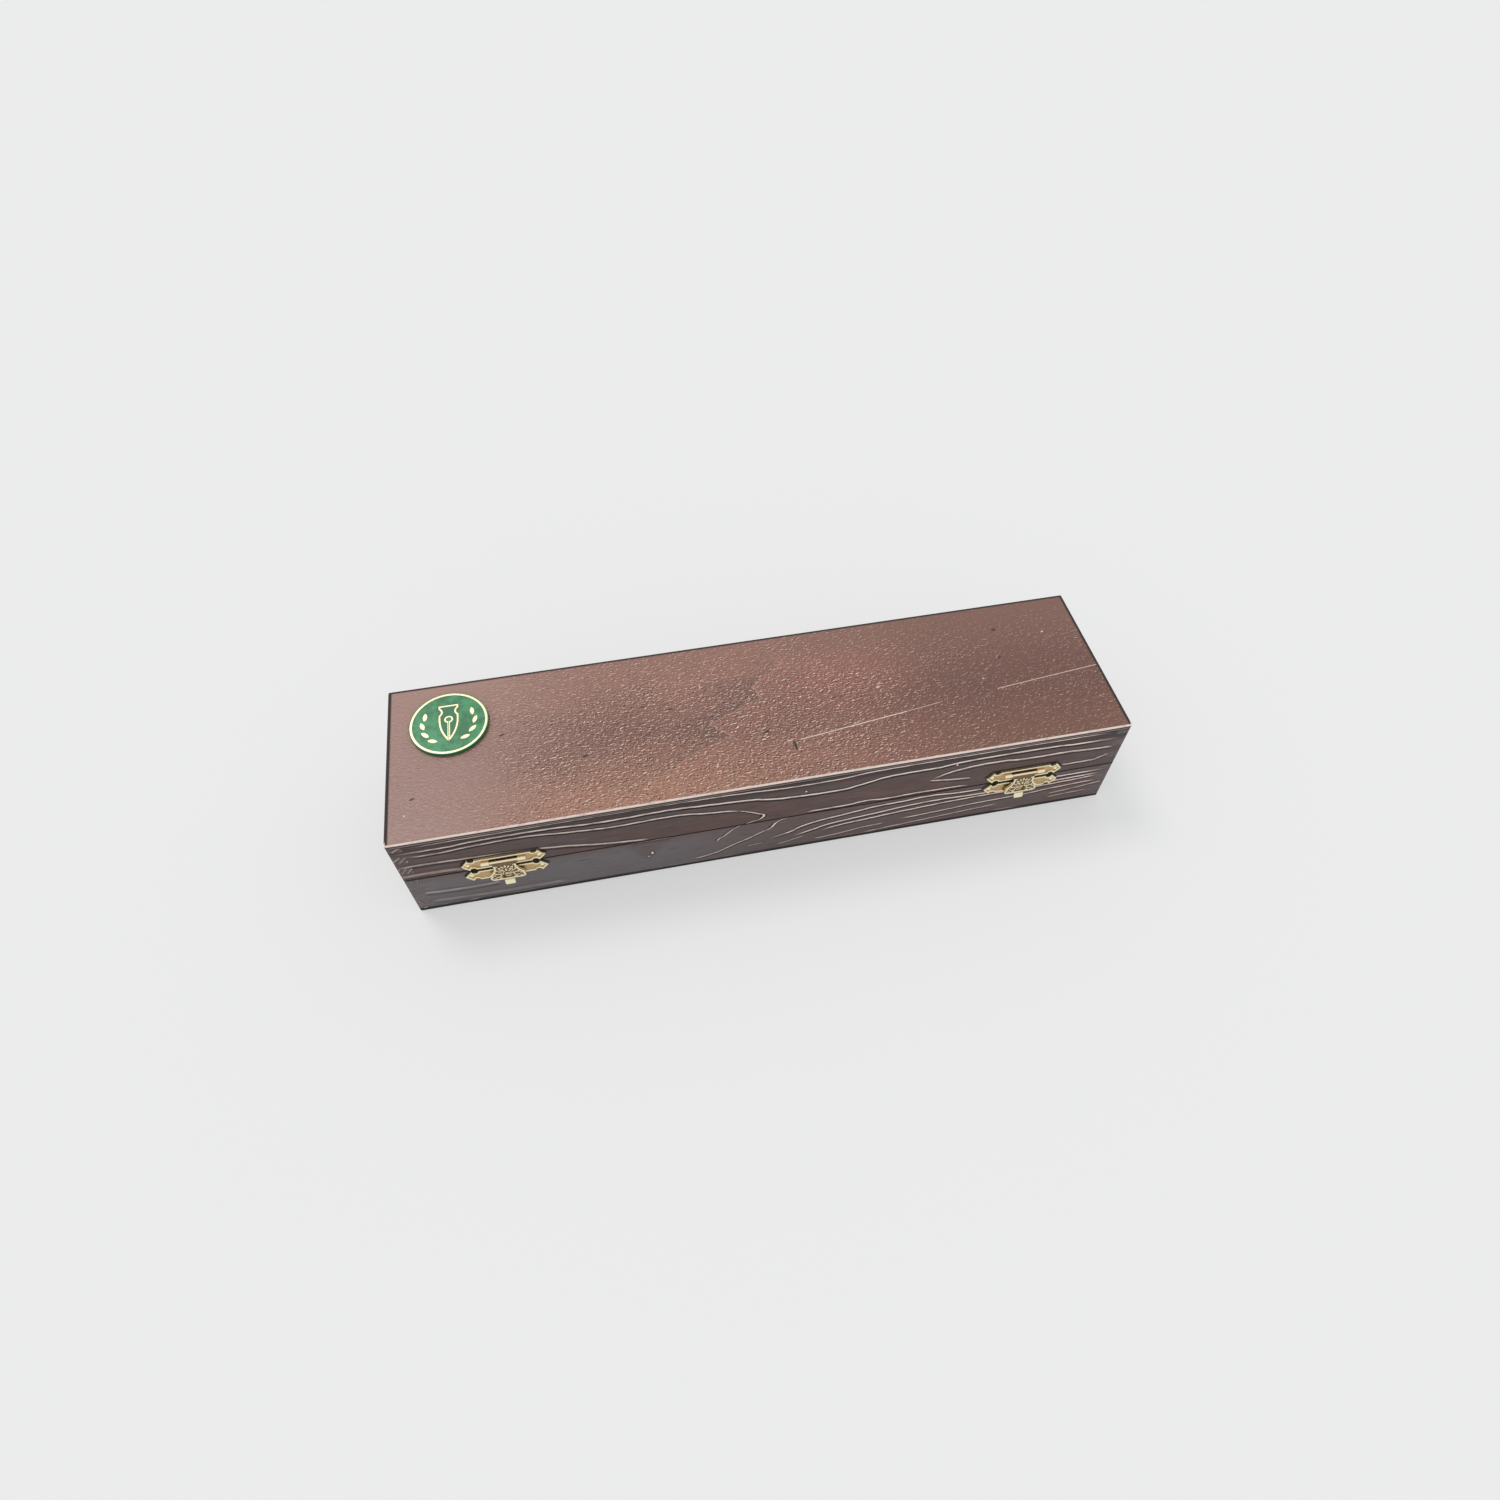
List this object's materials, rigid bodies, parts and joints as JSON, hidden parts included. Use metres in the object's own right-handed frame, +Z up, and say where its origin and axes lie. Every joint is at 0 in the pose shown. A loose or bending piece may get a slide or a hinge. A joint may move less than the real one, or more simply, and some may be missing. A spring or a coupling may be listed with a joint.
{
  "type": "fountain pen case",
  "caption": "Long finger-jointed wooden case for fountain pens, with a hinged lid, stamped brass clasps on the front, a fluted tray and a padded lid.",
  "frame": {"origin": "middle of the bottom panel's underside", "axes": "+X along the case to its right end, +Y to the hinged back, +Z up; the clasps face -Y"},
  "size_m": [0.3, 0.0838, 0.0529],
  "materials": {
    "top_wood": "stained, satin",
    "wall_wood": "stained, satin",
    "bottom_wood": "stained, satin",
    "flock": "short flock",
    "pad_cloth": "soft cloth",
    "hinge_brass": "satin",
    "clasp_brass": "bright plated",
    "badge_gilt": "polished",
    "badge_enamel": "gloss enamel"
  },
  "bodies": {
    "base": {"bottom_panel": "bottom_wood", "base_front_wall": "wall_wood", "base_back_wall": "wall_wood", "base_left_wall": "wall_wood", "base_right_wall": "wall_wood", "pen_tray": "flock", "base_hinge_leaf_left": "hinge_brass", "base_hinge_leaf_right": "hinge_brass", "hinge_pin_left": "hinge_brass", "hinge_pin_right": "hinge_brass", "base_hinge_screws": "hinge_brass", "catch_plate_left": "clasp_brass", "catch_plate_right": "clasp_brass", "catch_plate_brads": "clasp_brass"},
    "lid": {"top_panel": "top_wood", "lid_front_wall": "wall_wood", "lid_back_wall": "wall_wood", "lid_left_wall": "wall_wood", "lid_right_wall": "wall_wood", "lid_pad": "pad_cloth", "lid_hinge_leaf_left": "hinge_brass", "lid_hinge_leaf_right": "hinge_brass", "lid_hinge_screws": "hinge_brass", "clasp_plate_left": "clasp_brass", "clasp_plate_right": "clasp_brass", "clasp_plate_brads": "clasp_brass", "clasp_wire_left": "clasp_brass", "clasp_wire_right": "clasp_brass", "badge_plate": "badge_gilt", "badge_enamel": "badge_enamel"},
    "flap_left": {"clasp_flap_left": "clasp_brass"},
    "flap_right": {"clasp_flap_right": "clasp_brass"}
  },
  "joints": [
    {"name": "lid_hinge", "type": "hinge", "parent": "base", "child": "lid", "pos_m": [0, 0.0406, 0.0254], "axis": [-1, 0, 0], "range_deg": [0, 165]},
    {"name": "left_flap_hinge", "type": "hinge", "parent": "lid", "child": "flap_left", "pos_m": [-0.1097, -0.03975, 0.0302], "axis": [-1, 0, 0], "range_deg": [0, 135]},
    {"name": "right_flap_hinge", "type": "hinge", "parent": "lid", "child": "flap_right", "pos_m": [0.1075, -0.03975, 0.0302], "axis": [-1, 0, 0], "range_deg": [0, 135]}
  ]
}
